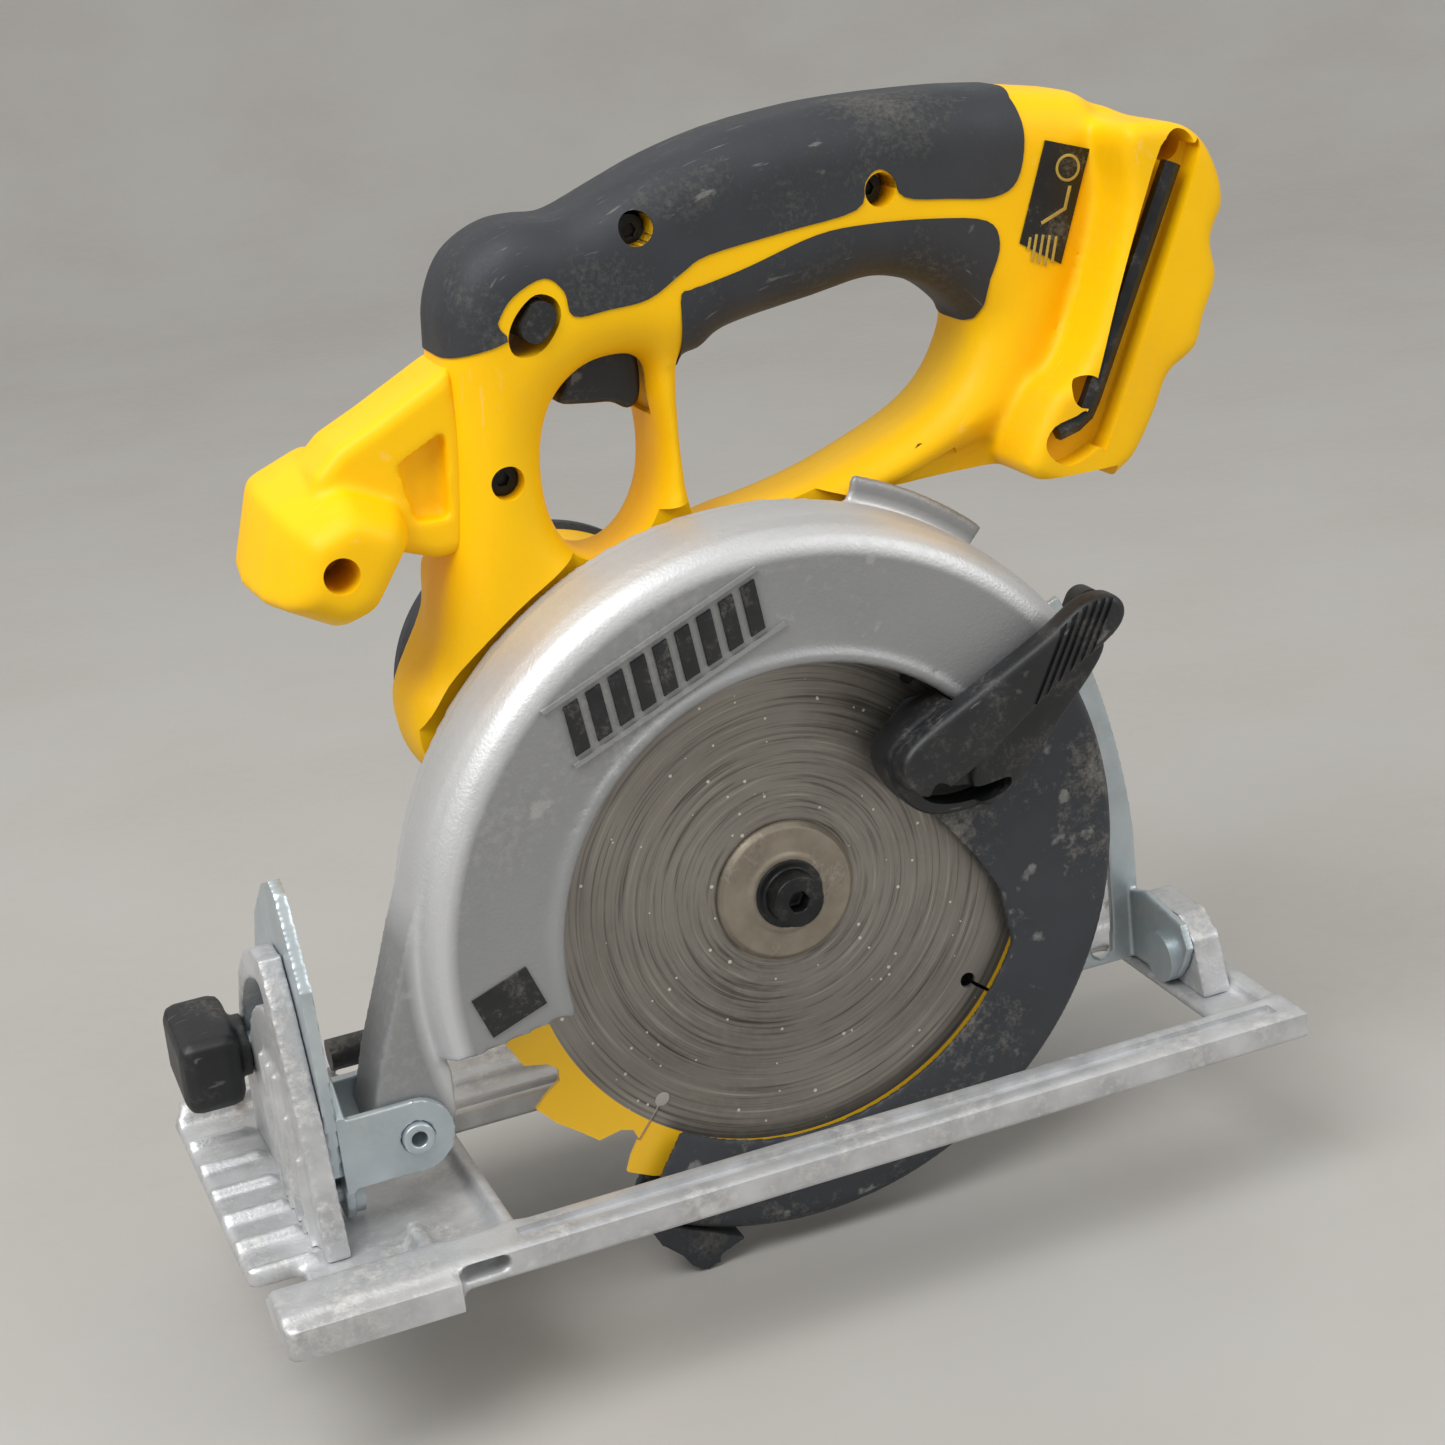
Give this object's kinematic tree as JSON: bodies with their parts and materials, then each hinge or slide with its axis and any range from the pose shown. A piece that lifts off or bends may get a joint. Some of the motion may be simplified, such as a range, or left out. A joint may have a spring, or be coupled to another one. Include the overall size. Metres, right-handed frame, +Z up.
{
  "type": "circular saw",
  "caption": "Cordless circular saw, battery removed: left-hand blade, cast upper guard, sprung lower guard, yellow handle with rubber grip and a tilting cast soleplate.",
  "frame": {"origin": "centre of the blade on its axis", "axes": "+X to the battery end, +Y from the blade to the motor, +Z up; the soleplate lies level under the saw"},
  "size_m": [0.286, 0.154, 0.2845],
  "materials": {
    "cast_alloy": "sand-blasted die casting",
    "yellow_plastic": "fine moulded texture",
    "grip_rubber": "soft overmould",
    "black_plastic": "moulded",
    "charcoal_plastic": "moulded, dusty",
    "zinc_plated_steel": "zinc plated",
    "blade_steel": "ground, used",
    "flange_steel": "pressed, dusty",
    "black_oxide_steel": "black oxide",
    "gear_steel": "machined",
    "copper": "copper bars",
    "brass": "stamped",
    "red_insulation": "wire insulation",
    "label_film": "printed film"
  },
  "bodies": {
    "saw_body": {"upper_guard": "cast_alloy", "guard_nameplate": "black_plastic", "guard_badge": "black_plastic", "gear_case": "cast_alloy", "guard_screws": "black_oxide_steel", "housing_near_shell": "yellow_plastic", "housing_far_shell": "yellow_plastic", "grip_top_overmould": "grip_rubber", "grip_lower_overmould": "grip_rubber", "front_pommel": "yellow_plastic", "pommel_screw": "black_oxide_steel", "housing_screws": "black_oxide_steel", "instruction_label": "label_film", "switch_module": "black_plastic", "terminal_block": "black_plastic", "battery_terminals": "brass", "motor_leads": "red_insulation", "motor_housing": "yellow_plastic", "bumper_ring": "grip_rubber", "motor_end_cap": "yellow_plastic", "end_cap_screws": "black_oxide_steel", "motor_magnets": "gear_steel", "brush_holder": "brass", "armature_bearings": "gear_steel", "spindle_bearings": "gear_steel", "pivot_pin": "zinc_plated_steel", "guard_spring": "gear_steel", "trigger_spring": "gear_steel"},
    "blade_shaft": {"saw_blade": "blade_steel", "inner_flange": "flange_steel", "outer_flange": "flange_steel", "blade_bolt": "black_oxide_steel", "spindle": "gear_steel", "spindle_gear": "gear_steel"},
    "mid_shaft": {"intermediate_gear": "gear_steel"},
    "rotor": {"armature": "gear_steel", "commutator": "copper", "motor_fan": "black_plastic"},
    "swing_guard": {"lower_guard": "charcoal_plastic", "guard_lever": "black_plastic", "guard_bumper": "grip_rubber"},
    "trigger_lever": {"trigger": "black_plastic"},
    "lock_off": {"lock_off_button": "black_plastic"},
    "spindle_lock": {"spindle_lock_button": "black_plastic"},
    "wrench": {"hex_wrench": "black_oxide_steel"},
    "depth_frame": {"front_bracket": "zinc_plated_steel", "quadrant_plate": "zinc_plated_steel", "depth_strip": "zinc_plated_steel", "bevel_rivets": "zinc_plated_steel"},
    "depth_clamp": {"depth_lever": "black_plastic", "depth_bolt": "zinc_plated_steel"},
    "bevel_clamp": {"bevel_knob": "black_plastic"},
    "base": {"shoe": "cast_alloy", "bevel_quadrant": "cast_alloy", "rear_upright": "cast_alloy"},
    "fence_screw": {"fence_clamp_screw": "black_plastic"}
  },
  "joints": [
    {"name": "blade_spin", "type": "hinge", "parent": "saw_body", "child": "blade_shaft", "pos_m": [0, 0, 0], "axis": [0, 1, 0], "continuous": true},
    {"name": "mid_gear_spin", "type": "hinge", "parent": "saw_body", "child": "mid_shaft", "pos_m": [-0.01401, 0, 0.01949], "axis": [0, 1, 0], "continuous": true},
    {"name": "motor_spin", "type": "hinge", "parent": "saw_body", "child": "rotor", "pos_m": [-0.02801, 0, 0.03898], "axis": [0, 1, 0], "continuous": true},
    {"name": "guard_swing", "type": "hinge", "parent": "saw_body", "child": "swing_guard", "pos_m": [0, 0, 0], "axis": [0, -1, 0], "range_deg": [0, 104], "stiffness_Nm_per_rad": 0.3, "springref_deg": -40.11},
    {"name": "depth_pivot", "type": "hinge", "parent": "saw_body", "child": "depth_frame", "pos_m": [-0.104, 0, -0.034], "axis": [0, -1, 0], "range_deg": [-8, 16]},
    {"name": "bevel_tilt", "type": "hinge", "parent": "depth_frame", "child": "base", "pos_m": [0, 0, -0.048], "axis": [-1, 0, 0], "range_deg": [0, 50]},
    {"name": "depth_lever_turn", "type": "hinge", "parent": "saw_body", "child": "depth_clamp", "pos_m": [0.09321, 0, 0.00972], "axis": [0, -1, 0], "range_deg": [0, 60]},
    {"name": "bevel_knob_turn", "type": "hinge", "parent": "depth_frame", "child": "bevel_clamp", "pos_m": [-0.143, 0.04674, -0.02521], "axis": [1, 0, 0], "range_deg": [0, 180]},
    {"name": "trigger_pull", "type": "hinge", "parent": "saw_body", "child": "trigger_lever", "pos_m": [-0.0275, 0.032, 0.1415], "axis": [0, -1, 0], "range_deg": [0, 9], "stiffness_Nm_per_rad": 0.5, "springref_deg": -5.73, "deforming": ["trigger_spring"]},
    {"name": "lock_off_press", "type": "slide", "parent": "saw_body", "child": "lock_off", "axis": [0, 1, 0], "range_m": [0, 0.0035], "stiffness_N_per_m": 400, "springref_m": -0.002},
    {"name": "spindle_lock_press", "type": "slide", "parent": "saw_body", "child": "spindle_lock", "axis": [1, 0, 0], "range_m": [0, 0.0025], "stiffness_N_per_m": 600, "springref_m": -0.002},
    {"name": "wrench_pull", "type": "slide", "parent": "saw_body", "child": "wrench", "axis": [0, -1, 0], "range_m": [0, 0.015]},
    {"name": "fence_screw_turn", "type": "hinge", "parent": "base", "child": "fence_screw", "pos_m": [-0.1, 0.066, -0.044], "axis": [1, 0, 0], "range_deg": [0, 180]}
  ],
  "couplings": [
    {"joint": "mid_gear_spin", "follows": "blade_spin", "ratio": -2},
    {"joint": "motor_spin", "follows": "blade_spin", "ratio": 6}
  ]
}
